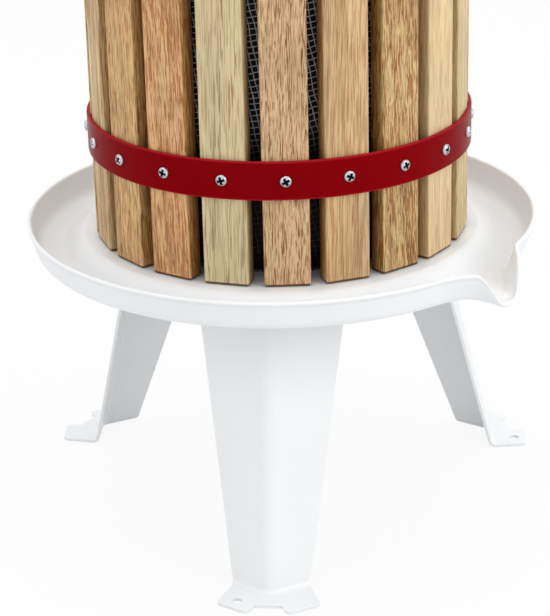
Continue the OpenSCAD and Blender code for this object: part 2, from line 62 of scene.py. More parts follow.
# Legs
FOLD_TOP_R, FOLD_FOOT_R, SWEEP, TOP_HALF, FOOT_HALF, LEG_T = 122.0, 176.5, radians(30), 52.5, 25.5, 2.0
FOLD_R, FOOT_BEND, LEG_GAP = 11.0, 3.5, 0.4
LOBE_REACH, LOBE_TAPER, LOBE_CORNER, WEB_REACH, WEB_HALF = 26.0, 3.0, 5.0, 13.0, 9.5
FOOT_HOLE_R, HOLE_ALONG, HOLE_OUT = 3.5, 15.0, 17.0
TAB_W, TAB_L, TAB_BEND, TAB_DROP = 26.0, 22.0, 3.0, 7.0
TAB_MIDDLE, STUD_OUT = TOP_HALF / np.cos(SWEEP) / 2, -0.55 * TAB_L
LEG_AZ = {"leg_front": -90.0, "leg_right": 30.0, "leg_left": 150.0}
# Basket
STAVES, BASKET_R, STAVE_W, STAVE_T, STAVE_H = 20, 130.0, 30.5, 13.0, 300.0
STAVE_EDGE, STAVE_BEVEL, STAVE_Z, BASKET_TURN = 1.3, 1.5, 206.2, 5.9
HOOP_IR, HOOP_OR, HOOP_W, HOOP_Z = 130.825, 133.325, 26.0, {"lower": 280.2, "upper": 432.2}
SCREW_R, SCREW_L, HEAD_R, HEAD_H = 1.75, 14.0, 3.75, 2.4
BAG_R, BAG_CORNER, BAG_RISE, BAG_TOP, BAG_HOLE_R = 115.8, 12.0, 18.0, 494.2, 20.0
BAG_LIFT, BAG_GAP = 0.5, 0.4
# Boards and blocks
BOARD_R, BOARD_BORE_R, BOARD_Z, BOARD_T, BOARD_SPLIT = 102.8, 18.0, 207.0, 18.0, 1.5
BLOCK_W, BLOCK_H, BLOCK_OUT, BLOCK_EDGE, LOWER_L, UPPER_L = 42.0, 45.0, 34.0, 1.2, 170.0, 130.0
# Spindle, and what fastens it and the legs below the tray
SPINDLE_R, LEAD, THREAD_D, SPINDLE_FOOT, SPINDLE_TOP = 10.0, 5.0, 2.4, 176.5, 656.35
COLLAR_R, COLLAR_Z, COLLAR_H = 16.0, 207.5, 6.0
PLATE_R, PLATE_T = 66.0, 4.0
SPINDLE_WASHER_R, SPINDLE_WASHER_T, SPINDLE_NUT_R, SPINDLE_NUT_H = 19.0, 3.0, 17.3, 16.0
STUD_R, STUD_L, STUD_WASHER_R, STUD_WASHER_T, STUD_NUT_R, STUD_NUT_H = 3.0, 14.0, 6.0, 1.6, 5.76, 4.95
# Head: how high its arms and its foot are, then heights from the underside of the foot
ARM_Z, FOOT_Z = 548.2, 492.2
FOOT_R, FOOT_EDGE_H, SHOULDER_R, SHOULDER_H, HUB_R, HUB_H = 48.0, 8.0, 30.0, 14.0, 26.0, 16.0
RECESS_R, RECESS_H, THRUST_R, THRUST_H = 19.1, 6.0, 24.0, 16.15
NECK_R, NECK_END, GROOVE_R, GROOVE = 15.0, 1.5, 14.0, (4.2, 5.95)
RING_R, RING_MID_R, RING_GAP, RING_H = 17.6, 16.0, 0.35 * NECK_R, (4.35, 5.85)
NUT_R, NUT_BASE, NUT_TOP = 23.0, 18.15, 82.15
ARM_R, ARM_ROOT, ARM_REACH, SOCKET_R, SOCKET_REACH = 8.0, 14.0, 226.0, 13.0, 42.0
GRIP_R, GRIP_SWELL, GRIP_START, GRIP_DOME, RIDGES, RIDGE_D = 11.0, 4.0, 146.0, 9.0, 9, 0.5
PIN_R, PIN_HALF, PIN_X = 2.5, 13.0, 31.0
# Outlines of (radius, distance along the arm): a socket's fillet, and the mouth of a grip
FILLET, MOUTH = [[12.5, 19.5], [18, 20], [13.4, 27], [12.6, 27]], [[10, 143], [10.7, 143.4], [11, 144]]
rng = np.random.default_rng(12)


def linear(hex_colour):
    """Linear RGBA of an sRGB hex colour such as #aa8855."""
    c = np.array([int(hex_colour[i:i + 2], 16) for i in (1, 3, 5)]) / 255
    return (*np.where(c <= 0.04045, c / 12.92, ((c + 0.055) / 1.055) ** 2.4), 1.0)


def ease(u):
    """Smooth step: half of 1 - cos(pi u), with u held between 0 and 1."""
    return (1 - np.cos(np.pi * np.clip(u, 0, 1))) / 2


def hill(delta, flat, half):
    """1 within flat degrees of the middle, 0 beyond half, smooth between."""
    return ease((half - np.abs(delta)) / (half - flat))


def arc(centre, r, a0, a1, n):
    """Points of an arc about centre from angle a0 to a1 in degrees."""
    a = np.radians(np.linspace(a0, a1, n))
    return np.stack([centre[0] + r * np.cos(a), centre[1] + r * np.sin(a)], -1)


def rounded(corners, r, n=5):
    """Outline with each corner replaced by an arc of radius r, cut short on short sides; r may be a list."""
    p = np.asarray(corners, float)
    r = np.broadcast_to(np.asarray(r, float), len(p))
    most, straight = 0.49, 1e-3
    made = []
    for i in range(len(p)):
        if r[i] <= 0:
            made.append(p[i:i + 1])
            continue
        a, b, c = p[i - 1] - p[i], p[i], p[(i + 1) % len(p)] - p[i]
        la, lc = np.linalg.norm(a), np.linalg.norm(c)
        a, c = a / la, c / lc
        half = np.arccos(np.clip(a @ c, -1, 1)) / 2
        if abs(QUARTER - half) < straight:
            made.append(p[i:i + 1])
            continue
        reach = min(r[i] / np.tan(half), most * la, most * lc)
        rad = reach * np.tan(half)
        o = b + (a + c) / np.linalg.norm(a + c) * rad / np.sin(half)
        s, e = b + a * reach - o, b + c * reach - o
        sweep = np.arctan2(s[0] * e[1] - s[1] * e[0], s @ e)
        t = np.arctan2(s[1], s[0]) + sweep * np.linspace(0, 1, n)
        made.append(o + rad * np.stack([np.cos(t), np.sin(t)], -1))
    return np.concatenate(made)


def oblong(x0, x1, y0, y1, r=0.0, n=5):
    """Outline of an oblong with rounded corners, from (x0, y0) by way of (x1, y0)."""
    return rounded([[x0, y0], [x1, y0], [x1, y1], [x0, y1]], r, n)


def lengths(curve):
    """Distance along a curve of (x, y) at each of its points."""
    return np.concatenate([[0], np.cumsum(np.linalg.norm(np.diff(curve, axis=0), axis=1))])


def patch(points, wrap_u=False, wrap_v=False):
    """Vertices and quads of a grid of points; wrap joins the last row or column to the first."""
    n, m = points.shape[:2]
    i, j = np.meshgrid(np.arange(n - (not wrap_u)), np.arange(m - (not wrap_v)), indexing="ij")
    k, l = (i + 1) % n, (j + 1) % m
    quads = np.stack([i * m + j, k * m + j, k * m + l, i * m + l], -1).reshape(-1, 4)
    return points.reshape(-1, 3), quads


def raised(plan, z):
    """Grid of plan points with one height for each row, or one for all."""
    return np.concatenate([plan, np.broadcast_to(np.reshape(z, (-1, 1, 1)), plan.shape[:2] + (1,))], -1)


def round_grid(outline, a):
    """Outline of (r, z) at each angle in a about the Z axis: (r cos a, r sin a, z)."""
    a, r, z = a[:, None], outline[None, :, 0], outline[None, :, 1]
    return np.stack([r * np.cos(a), r * np.sin(a), z + 0 * a], -1)


def turned(outline, n=96, wrap_v=True):
    """Outline of (r, z) carried once round the Z axis."""
    return patch(round_grid(outline, np.linspace(0, TURN, n, endpoint=False)), True, wrap_v)


def joined(parts):
    """One list of vertices and quads from several."""
    base = np.cumsum([0] + [len(v) for v, _ in parts])
    return np.concatenate([v for v, _ in parts]), np.concatenate([q + b for (_, q), b in zip(parts, base)])


def placed(part, matrix):
    """A part's vertices moved by a 4x4 matrix."""
    m = np.array(matrix)
    return part[0] @ m[:3, :3].T + m[:3, 3], part[1]


def shown(name, data):
    """A new object in the scene."""
    made = bpy.data.objects.new(name, data)
    bpy.context.scene.collection.objects.link(made)
    return made


def piece(name, part, body, slot, nodes=(), closed=True, sharp=SHARP, attributes=None):
    """Puts a part, in mm, into a mesh object that rides on a body and replaces CAD nodes.

    An attribute has one number, three or four for each point: a value, a place or a colour.
    """
    points, quads = part
    if closed:  # the signed volume says whether the faces look outwards
        a, b, c, d = (points[quads[:, i]] for i in range(4))
        volume = (np.einsum("ij,ij->", a, np.cross(b, c)) + np.einsum("ij,ij->", a, np.cross(c, d))) / 6
        quads = quads if volume > 0 else quads[:, ::-1]
    mesh = bpy.data.meshes.new(name)
    mesh.from_pydata((points * MM).tolist(), [], quads.tolist())
    kinds = {1: ("FLOAT", "value"), 3: ("FLOAT_VECTOR", "vector"), 4: ("FLOAT_COLOR", "color")}
    for key, values in (attributes or {}).items():
        kind, field = kinds[values.size // len(points)]
        mesh.attributes.new(key, kind, "POINT").data.foreach_set(field, values.astype(np.float32).ravel())
    work = bmesh.new()
    work.from_mesh(mesh)
    bmesh.ops.remove_doubles(work, verts=work.verts, dist=MERGE)
    bmesh.ops.dissolve_degenerate(work, edges=work.edges, dist=SLIVER)
    work.to_mesh(mesh)
    work.free()
    mesh.shade_smooth()
    mesh.set_sharp_from_angle(angle=radians(sharp))
    mesh.materials.append(FINISHES[slot])
    obj = shown(name, mesh)
    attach(obj, body)
    if nodes:
        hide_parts(*nodes)
    return obj


def output(source):
    """A socket as it is, or the first output that a node has in use."""
    if isinstance(source, bpy.types.NodeSocket):
        return source
    return next(s for s in source.outputs if s.enabled)


def add(tree, kind, inputs=None, **settings):
    """Adds a shader node, sets its options, and sets its inputs or links them to sockets or nodes."""
    made = tree.nodes.new("ShaderNode" + kind)
    for key, value in settings.items():
        setattr(made, key, value)
    for key, value in (inputs or {}).items():
        socket = made.inputs[key] if isinstance(key, int) else next(
            s for s in made.inputs if s.name == key and s.enabled)
        if isinstance(value, (bpy.types.Node, bpy.types.NodeSocket)):
            tree.links.new(output(value), socket)
        else:
            socket.default_value = value
    return made


def wire(tree, node, **sources):
    """Links sockets or nodes to a node's inputs, with _ for a space in an input's name."""
    for key, source in sources.items():
        tree.links.new(output(source), node.inputs[key.replace("_", " ")])


def start(name, **constants):
    """A new material's node tree and its shader, with constants on the shader's own sockets."""
    made = bpy.data.materials.new(name)
    made.use_nodes = True
    shader = made.node_tree.nodes["Principled BSDF"]
    for key, value in constants.items():
        shader.inputs[key.replace("_", " ")].default_value = value
    return made, made.node_tree, shader


def mottled(t, size_mm, detail, deep, pale):
    """The piece's own coordinates, clouds size_mm across on them, and a colour that drifts with these."""
    place = add(t, "TexCoord").outputs["Object"]
    cloud = add(t, "TexNoise", {"Vector": place, "Scale": 1000 / size_mm, "Detail": detail})
    tint = add(t, "Mix", {"Factor": cloud, "A": linear(deep), "B": linear(pale)}, data_type="RGBA")
    return place, cloud, tint


def coat(t, shader, colour, gloss, rough, relief=None, strength=0.0, depth_mm=0.0, **settings):
    """Gives the shader a colour, a roughness that goes through the range rough with gloss, and a relief."""
    shine = add(t, "MapRange", {"Value": gloss, "To Min": rough[0], "To Max": rough[1]})
    wire(t, shader, Base_Color=colour, Roughness=shine)
    if relief is not None:
        bump = {"Height": relief, "Strength": strength, "Distance": depth_mm * MM}
        wire(t, shader, Normal=add(t, "Bump", bump, **settings))


def enamel_white():
    """White powder coat on pressed sheet: a satin skin with a faint orange peel about 2 mm across."""
    made, t, shader = start("powder_coat_white", IOR=1.5, Metallic=0.0)
    place, cloud, tint = mottled(t, 70, 2.0, "#e3e5e7", "#ebedee")
    peel = add(t, "TexNoise", {"Vector": place, "Scale": 1000 / 2, "Detail": 1.0})
    coat(t, shader, tint, cloud, (0.3, 0.4), peel, 0.25, 0.04)
    return made


def paint_red():
    """Dark red enamel on flat bar: deep and even with hardly a reflection, and a slow ripple 8 mm long.

    The attribute edge is 1 along the bar's edges, which are painted paler red as a painted highlight.
    """
    made, t, shader = start("gloss_enamel_red", IOR=1.5, Metallic=0.0, Specular_IOR_Level=0.02)
    place, cloud, tint = mottled(t, 30, 3.0, "#760006", "#820007")
    ripple = add(t, "TexNoise", {"Vector": place, "Scale": 1000 / 8, "Detail": 1.0})
    edge = add(t, "Attribute", attribute_name="edge").outputs["Fac"]
    # painted highlight: the bar's edges are painted a paler red
    edge_lit = add(t, "Mix", {"Factor": edge, "A": tint, "B": linear("#a01c24")}, data_type="RGBA")
    coat(t, shader, edge_lit, cloud, (0.24, 0.34), ripple, 0.3, 0.1)
    return made


def casting_red():
    """Red paint on a sand casting: pebbled about 1.5 mm across, with gloss in the low spots."""
    made, t, shader = start("painted_casting_red", IOR=1.5, Metallic=0.0)
    place, _, tint = mottled(t, 20, 3.0, "#650208", "#80060e")
    grit = add(t, "TexNoise", {"Vector": place, "Scale": 1000 / 1.5, "Detail": 2.0})
    coat(t, shader, tint, grit, (0.3, 0.5), grit, 0.5, 0.2)
    return made


def planed_wood(name, ring_mm, pore_mm, streak_mm, dark, pore_dark):
    """Planed wood, in mm from the tree's middle on the board's own axes, which the attribute board holds.

    Growth rings ring_mm apart round the board's Z axis, pores pore_mm wide and ragged streaks streak_mm wide
    drawn out along it, and a slow drift of tone and hue. The attribute tone is the board's own colour, and on
    the staves it also carries painted shade and painted highlights. The attributes figure and pores say how
    strongly its rings and streaks, and its pores, show.
    """
    made, t, shader = start(name, IOR=1.5, Metallic=0.0)
    board, tone, figure, open_grain = (
        add(t, "Attribute", attribute_name=key).outputs[kind]
        for key, kind in (("board", "Vector"), ("tone", "Color"), ("figure", "Fac"), ("pores", "Fac")))
    drift_w, drift_l, sway, pore_l, streak_l = 16, 110, 5.0, 30 * pore_mm, 26 * streak_mm
    # divided by a ring's width, this is the scale that gives the wave texture rings of that width
    wave_pitch = 0.314

    slow = add(t, "Mapping", {"Vector": board, "Scale": (1 / drift_w, 1 / drift_w, 1 / drift_l)})
    drift = add(t, "TexNoise", {"Vector": slow, "Scale": 1.0, "Detail": 3.0})
    bent = add(t, "VectorMath", {0: drift.outputs["Color"], 1: (sway, sway, 0.0)}, operation="MULTIPLY")
    grown = add(t, "VectorMath", {0: board, 1: bent}, operation="ADD")
    rings = add(t, "TexWave", {"Vector": grown, "Scale": wave_pitch / ring_mm, "Distortion": 1.2,
                               "Detail": 2.0, "Detail Scale": 0.6},
                wave_type="RINGS", rings_direction="Z", wave_profile="SAW")
    late = add(t, "MapRange", {"Value": rings.outputs["Fac"], "From Min": 0.25, "From Max": 1.0},
               interpolation_type="SMOOTHSTEP")

    fine = add(t, "Mapping", {"Vector": board, "Scale": (1 / pore_mm, 1 / pore_mm, 1 / pore_l)})
    hairs = add(t, "TexNoise", {"Vector": fine, "Scale": 1.0, "Detail": 1.0})
    pores = add(t, "MapRange", {"Value": hairs, "From Min": 0.5, "From Max": 0.58},
                interpolation_type="SMOOTHSTEP")
    early = add(t, "MapRange", {"Value": late, "To Min": 0.6, "To Max": 1.0})
    rowed = add(t, "Math", {0: pores, 1: early}, operation="MULTIPLY")
    pored = add(t, "Math", {0: rowed, 1: open_grain}, operation="MULTIPLY")

    wide = add(t, "Mapping", {"Vector": grown, "Scale": (1 / streak_mm, 1 / streak_mm, 1 / streak_l)})
    ragged = add(t, "TexNoise", {"Vector": wide, "Scale": 1.0, "Detail": 4.0, "Roughness": 0.65})
    streaks = add(t, "MapRange", {"Value": ragged, "From Min": 0.5, "From Max": 0.57},
                  interpolation_type="SMOOTHSTEP")
    banded = add(t, "Math", {0: late, 1: 0.35}, operation="MULTIPLY")
    marked = add(t, "Math", {0: streaks, 1: banded}, operation="MAXIMUM")
    ringed = add(t, "Math", {0: marked, 1: figure}, operation="MULTIPLY")

    shade = add(t, "Mix", {"Factor": 1.0, "A": tone, "B": linear(dark)}, data_type="RGBA",
                blend_type="MULTIPLY")
    deep = add(t, "Mix", {"Factor": 1.0, "A": tone, "B": linear(pore_dark)}, data_type="RGBA",
               blend_type="MULTIPLY")
    drawn = add(t, "Mix", {"Factor": ringed, "A": tone, "B": shade}, data_type="RGBA")
    dotted = add(t, "Mix", {"Factor": pored, "A": drawn, "B": deep}, data_type="RGBA")
    light = add(t, "MapRange", {"Value": drift, "From Min": 0.3, "From Max": 0.7,
                                "To Min": 0.86, "To Max": 1.1})
    faded = add(t, "VectorMath", {0: dotted, "Scale": light}, operation="SCALE")
    sap = add(t, "SeparateColor", {"Color": drift.outputs["Color"]})
    blush = add(t, "MapRange", {"Vector": sap.outputs["Green"], "From Min": (0.35, 0.35, 0.35),
                                "From Max": (0.65, 0.65, 0.65), "To Min": (0.99, 1.03, 0.98),
                                "To Max": (1.01, 0.97, 1.0)}, data_type="FLOAT_VECTOR")
    hued = add(t, "VectorMath", {0: faded, 1: blush}, operation="MULTIPLY")
    coat(t, shader, hued, late, (0.5, 0.62), pored, 0.5, 0.12, invert=True)
    return made


def zinc_plate():
    """Bright zinc plate on small steel fasteners: bluish grey, a soft mottled shine 3 mm across.

    The attribute recess_shade is 1 in a driver's recess, where the plate is painted nearly black as painted
    shade.
    """
    made, t, shader = start("zinc_plated_steel", Metallic=1.0)
    _, cloud, tint = mottled(t, 3, 3.0, "#b4b8be", "#d2d5da")
    recess_shade = add(t, "Attribute", attribute_name="recess_shade").outputs["Fac"]
    # painted shade: a screw's recess is painted nearly black
    recess_shaded = add(t, "Mix", {"Factor": recess_shade, "A": tint, "B": linear("#0c1419")}, data_type="RGBA")
    coat(t, shader, recess_shaded, cloud, (0.22, 0.42))
    return made


def turned_steel():
    """Bare turned steel: mid grey, with a fine tooth about 0.4 mm across, drawn coarse enough to show."""
    made, t, shader = start("turned_steel", Metallic=1.0)
    place, cloud, tint = mottled(t, 20, 4.0, "#8f9195", "#b3b4b7")
    tooth = add(t, "TexNoise", {"Vector": place, "Scale": 1000 / 0.4, "Detail": 1.0})
    coat(t, shader, tint, cloud, (0.26, 0.42), tooth, 0.15, 0.03)
    return made


def moulded_black(name, grit_mm, rough):
    """Black polymer with a moulded grain grit_mm across, dull, and a little paler on the high spots."""
    made, t, shader = start(name, IOR=1.5, Metallic=0.0)
    _, grain, tint = mottled(t, grit_mm, 2.0, "#161617", "#262628")
    coat(t, shader, tint, grain, (rough - 0.08, rough + 0.08), grain, 0.4, 0.08)
    return made


def net_grey():
    """Knotted polyester net: grey threads crossing every 4 mm, and dark openings between them.

    The attribute weave holds the place on the net in mm. Each thread is where the distance to the nearest
    whole multiple of the spacing is small; the threads wander by a millimetre or so. The openings are painted
    near black as painted shade, for the dark inside of the basket, and white where the net is laid on the
    tray, which the attribute laid says.
    The attribute lower_shade is how far painted shade darkens the thread, low on the net.
    """
    spacing, wander_mm, pull, slant, cloud_mm = 4.0, 22, 3.5, radians(-12), 9
    made, t, shader = start("polyester_net_grey", IOR=1.5, Metallic=0.0, Roughness=0.6,
                            Specular_IOR_Level=0.1)
    weave = add(t, "Attribute", attribute_name="weave").outputs["Vector"]
    wander = add(t, "TexNoise", {"Vector": weave, "Scale": 1 / wander_mm, "Detail": 2.0})
    pulled = add(t, "VectorMath", {0: wander.outputs["Color"], 1: (pull, pull, 0.0), 2: weave},
                 operation="MULTIPLY_ADD")
    cells = add(t, "VectorMath", {0: pulled, "Scale": 1 / spacing}, operation="SCALE")
    slanted = add(t, "VectorRotate", {"Vector": cells, "Angle": slant}, rotation_type="Z_AXIS")
    part = add(t, "VectorMath", {0: slanted}, operation="FRACTION")
    off = add(t, "VectorMath", {0: part, 1: (0.5, 0.5, 0.0)}, operation="SUBTRACT")
    away = add(t, "VectorMath", {0: off}, operation="ABSOLUTE")
    sides = add(t, "SeparateXYZ", {0: away})
    nearest = add(t, "Math", {0: sides.outputs["X"], 1: sides.outputs["Y"]}, operation="MAXIMUM")
    thread = add(t, "MapRange", {"Value": nearest, "From Min": 0.39, "From Max": 0.44},
                 interpolation_type="SMOOTHSTEP")
    cloud = add(t, "TexNoise", {"Vector": weave, "Scale": 1 / cloud_mm, "Detail": 3.0})
    yarn = add(t, "Mix", {"Factor": cloud, "A": linear("#85858b"), "B": linear("#a9a9ae")}, data_type="RGBA")
    lower_shade = add(t, "Attribute", attribute_name="lower_shade").outputs["Fac"]
    # painted shade: the thread is darkened low on the net
    shaded_yarn = add(t, "Mix", {"Factor": lower_shade, "A": yarn, "B": linear("#2c2628")}, data_type="RGBA")
    laid = add(t, "Attribute", attribute_name="laid").outputs["Fac"]
    # painted shade: the openings are near black for the dark inside of the basket, white where the net lies
    # on the tray
    behind = add(t, "Mix", {"Factor": laid, "A": linear("#060505"), "B": linear("#d2d4d6")}, data_type="RGBA")
    tint = add(t, "Mix", {"Factor": thread, "A": behind, "B": shaded_yarn}, data_type="RGBA")
    bump = add(t, "Bump", {"Height": thread, "Strength": 0.7, "Distance": 0.3 * MM})
    wire(t, shader, Base_Color=tint, Normal=bump)
    return made


# The material for each of the record's slots
FINISHES = {
    "white_enamel": enamel_white(), "red_paint": paint_red(), "red_casting": casting_red(),
    "oak": planed_wood("planed_oak", 4.2, 0.62, 1.5, "#c39a68", "#98744a"),
    "beech": planed_wood("planed_beech", 2.4, 0.4, 0.8, "#d6b48e", "#b98e66"),
    "zinc_plate": zinc_plate(), "bright_steel": turned_steel(), "bag_net": net_grey(),
    "grip_plastic": moulded_black("moulded_polypropylene_black", 0.8, 0.5),
    "seal_rubber": moulded_black("sheet_rubber_black", 0.5, 0.75),
}


def tray():
    """The sheet's closed outline of (r, z), carried round the axis.

    Across the spout a wall point at share q of the way from gutter to rim moves out by reach * out * q and
    its height goes over to gutter - depth - fall * q; the bead goes with the rim.
    """
    gutter_r, gutter_z, rim_z = SEAT_R + SLOPE_W + GUTTER_W, SEAT_Z - GUTTER_D, SEAT_Z + RIM_H
    flat_n, slope_n, bend_n, wall_n, bead_n = 14, 20, 14, 8, 22

    def skin(depth):
        """Flat, slope and bend of the sheet at a depth below its upper face."""
        r = np.linspace(SPINDLE_R + HOLE_GAP, SEAT_R, flat_n)[:-1]
        u = np.linspace(0, 1, slope_n)
        flat = np.stack([r, 0 * r + SEAT_Z - depth], -1)
        slope = np.stack([SEAT_R + SLOPE_W * u, SEAT_Z - GUTTER_D * ease(u) - depth], -1)
        bend = arc((gutter_r, gutter_z + BEND_R), BEND_R + depth, -90, np.degrees(WALL_LEAN) - 90, bend_n)
        return np.concatenate([flat, slope, bend])

    upper, lower = skin(0), skin(TRAY_T)
    rim_r = upper[-1, 0] + (rim_z - upper[-1, 1]) / np.tan(WALL_LEAN)
    bead = arc((rim_r + BEAD_OUT, rim_z), BEAD_R, *BEAD_ARC, bead_n)
    upper = np.concatenate([upper, np.linspace(upper[-1], bead[0], wall_n)[1:-1]])
    lower = np.concatenate([lower, np.linspace(lower[-1], bead[-1], wall_n)[1:-1]])
    outline = np.concatenate([upper, bead, lower[::-1]])
    below = np.repeat([0.0, TRAY_T], [len(upper) + len(bead), len(lower)])
    on_bead = np.repeat([False, True, False], [len(upper), len(bead), len(lower)])
    # degrees from the spout's middle, in finer steps near it
    near = 16
    swing = np.concatenate([np.linspace(-180, -near, 330, endpoint=False),
                            np.linspace(-near, near, 160, endpoint=False),
                            np.linspace(near, 180, 330, endpoint=False)])
    out = hill(swing, LIP_FLAT, LIP_HALF)[:, None]
    down = hill(swing, CHANNEL_FLAT, CHANNEL_HALF)[:, None]
    r, z = outline[None, :, 0], outline[None, :, 1]
    q = np.clip((r - gutter_r) / (rim_r - gutter_r), 0, 1)
    walled = (r >= gutter_r) & ~on_bead
    r_new = np.where(on_bead, r + SPOUT_REACH * out, np.where(walled, r + SPOUT_REACH * out * q, r))
    z_new = np.where(on_bead, z + down * (gutter_z - SPOUT_FALL - rim_z),
                     np.where(walled, z * (1 - down) + down * (gutter_z - below - SPOUT_FALL * q), z))
    a = np.radians(swing + SPOUT_AZ)[:, None]
    part = patch(np.stack([r_new * np.cos(a), r_new * np.sin(a), z_new], -1), True, True)
    piece("pressed_tray", part, "base", "white_enamel", ["tray"], sharp=50)


def by_wing(fold_r, side, along, out):
    """Plan point at a distance along one wing from the fold line and out from it; side is 1 or -1."""
    return (fold_r - along * np.sin(SWEEP) + out * np.cos(SWEEP),
            side * (along * np.cos(SWEEP) + out * np.sin(SWEEP)))


def leg_sheet():
    """Outer face of a leg: lines across two wings and a round fold, carried down from the tray to the foot.

    Across: two wings swept back either side of an arc. Down: place and width change evenly with height.
    Below, each line across turns out along its own normal through a small bend into the foot, as far as that
    line's reach: to a straight edge in front of the web, and to another in front of each lobe, with round
    corners.
    """
    # shares of the wing's length from the fold, closer together near it, and angles round the fold
    near, last, hair = 0.25, 0.004, 0.001
    w = np.concatenate([np.linspace(1, near, 24, endpoint=False), np.linspace(near, last, 16)])
    web_far = WEB_REACH + FOLD_R / np.cos(SWEEP)
    web_turn = np.arctan(WEB_HALF / web_far)
    fold = np.concatenate([np.linspace(-SWEEP, -web_turn, 12),
                           np.linspace(hair - web_turn, web_turn - hair, 15),
                           np.linspace(web_turn, SWEEP, 12)])
    theta = np.concatenate([np.full(len(w), -SWEEP), fold, np.full(len(w), SWEEP)])
    side = np.repeat([-1.0, 0.0, 1.0], [len(w), len(fold), len(w)])
    share = np.concatenate([w, 0 * fold, w[::-1]])
    normal = np.stack([np.cos(theta), np.sin(theta)], -1)
    tangent = FOLD_R * np.tan(SWEEP)

    def line(h):
        """Plan points across the leg at height share h: 0 at the tray, 1 at the ground."""
        h = np.asarray(h, float)[..., None]
        fold_r = FOLD_TOP_R + (FOLD_FOOT_R - FOLD_TOP_R) * h
        wing_l = (TOP_HALF + (FOOT_HALF - TOP_HALF) * h) / np.cos(SWEEP)
        reach = tangent + (wing_l - tangent) * share
        centre = fold_r - FOLD_R / np.cos(SWEEP)
        r = np.where(side == 0, centre + FOLD_R * np.cos(theta), fold_r - reach * np.sin(SWEEP))
        s = np.where(side == 0, FOLD_R * np.sin(theta), side * reach * np.cos(SWEEP))
        return np.stack([r, s], -1)

    z = np.linspace(UNDER_Z - LEG_GAP, LEG_T + FOOT_BEND, 60)
    wall, foot = line((UNDER_Z - z) / UNDER_Z), line(1.0)
    lobe_far, slant = FOLD_R + LOBE_REACH, SWEEP - np.abs(theta)
    along = share * (FOOT_HALF / np.cos(SWEEP) - tangent) - lobe_far * np.tan(slant)
    first = -lobe_far * np.tan(SWEEP - web_turn)
    past = np.clip(np.maximum(along - along.max(), first - along) + LOBE_CORNER, 0, LOBE_CORNER)
    lobe = (lobe_far - LOBE_CORNER + np.sqrt(LOBE_CORNER**2 - past**2)) / np.cos(slant) - FOLD_R
    reach = np.where(np.abs(theta) < web_turn, web_far / np.cos(theta) - FOLD_R, lobe)
    phi = np.linspace(0, QUARTER, 9)[1:]
    grow = np.linspace(0, 1, 9)[1:, None, None]
    bend = wall[-1] * (1 - grow) + foot * grow + normal * (FOOT_BEND * (1 - np.cos(phi)))[:, None, None]
    d = np.linspace(0, 1, 16)[1:, None, None]
    span = FOOT_BEND + (reach[:, None] - FOOT_BEND) * d
    inwards = np.stack([np.sin(SWEEP) + 0 * side, -side * np.cos(SWEEP)], -1)
    flat = foot + normal * span + (LOBE_TAPER * share)[:, None] * d * inwards
    return patch(np.concatenate([raised(wall, z), raised(bend, LEG_T + FOOT_BEND * (1 - np.sin(phi))),
                                 raised(flat, LEG_T)]))


def leg_tab(side):
    """A strip out of one wing's top edge, carried in along a bend to lie under the tray."""
    bend = arc((-LEG_T / 2 - TAB_BEND, UNDER_Z - TAB_BEND), TAB_BEND, 0, 90, 8)
    level = [[-TAB_L / 2, UNDER_Z], [-TAB_L, UNDER_Z]]
    path = np.concatenate([[[-LEG_T / 2, UNDER_Z - TAB_DROP]], bend, level])
    along = TAB_MIDDLE + np.linspace(-TAB_W / 2, TAB_W / 2, 8)[:, None]
    grid = np.stack([*by_wing(FOLD_TOP_R, side, along, path[None, :, 0]), path[None, :, 1] + 0 * along], -1)
    return patch(grid if side > 0 else grid[::-1])


def drilled(made, bit):
    """Gives a leg the sheet's thickness, inwards, cuts the part bit out of it, and keeps that as its mesh."""
    mesh = bpy.data.meshes.new("foot_drill")
    mesh.from_pydata((bit[0] * MM).tolist(), [], bit[1].tolist())
    work = bmesh.new()
    work.from_mesh(mesh)
    bmesh.ops.remove_doubles(work, verts=work.verts, dist=MERGE)
    bmesh.ops.recalc_face_normals(work, faces=work.faces)
    work.to_mesh(mesh)
    work.free()
    cutter = shown("foot_drill", mesh)
    thick = made.modifiers.new("sheet", "SOLIDIFY")
    thick.thickness, thick.offset, thick.use_even_offset = LEG_T * MM, -1, True
    drill = made.modifiers.new("drill", "BOOLEAN")
    drill.object, drill.operation, drill.solver = cutter, "DIFFERENCE", "EXACT"
    done = bpy.data.meshes.new_from_object(made.evaluated_get(bpy.context.evaluated_depsgraph_get()))
    made.modifiers.clear()
    made.data = done
    bpy.data.objects.remove(cutter)
    done.shade_smooth()
    done.set_sharp_from_angle(angle=radians(SHARP))


def leg(node):
    """A folded leg with two tabs under the tray and a hole in one lobe of its foot."""
    at = Matrix.Rotation(radians(LEG_AZ[node]), 4, "Z")
    sheet = placed(joined([leg_sheet(), leg_tab(-1), leg_tab(1)]), at)
    made = piece(node + "_folded", sheet, "base", "white_enamel", closed=False)
    low, high = -3.0, 6.0
    bit = turned(oblong(0, FOOT_HOLE_R, low, high), 40, False)
    hole = by_wing(FOLD_FOOT_R, -1, HOLE_ALONG, HOLE_OUT)
    drilled(made, placed(bit, at @ Matrix.Translation((*hole, 0))))
    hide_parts(node)


def board_place(points, seed, tilt, pith):
    """Local points in mm from the tree's middle, with a lean of the trunk and a start height of its own."""
    x, y, z = points[:, 0], points[:, 1], points[:, 2]
    apart = 700.0
    return np.stack([x - pith[0] + tilt[0] * z, y - pith[1] + tilt[1] * z, z + apart * seed], -1)


def grained(place, tone, figure, pores):
    """The attributes that planed wood reads; tone is one colour, or one for each point."""
    n = len(place)
    return {"board": place, "tone": np.broadcast_to(tone, (n, 4)), "figure": np.full(n, figure),
            "pores": np.full(n, pores)}


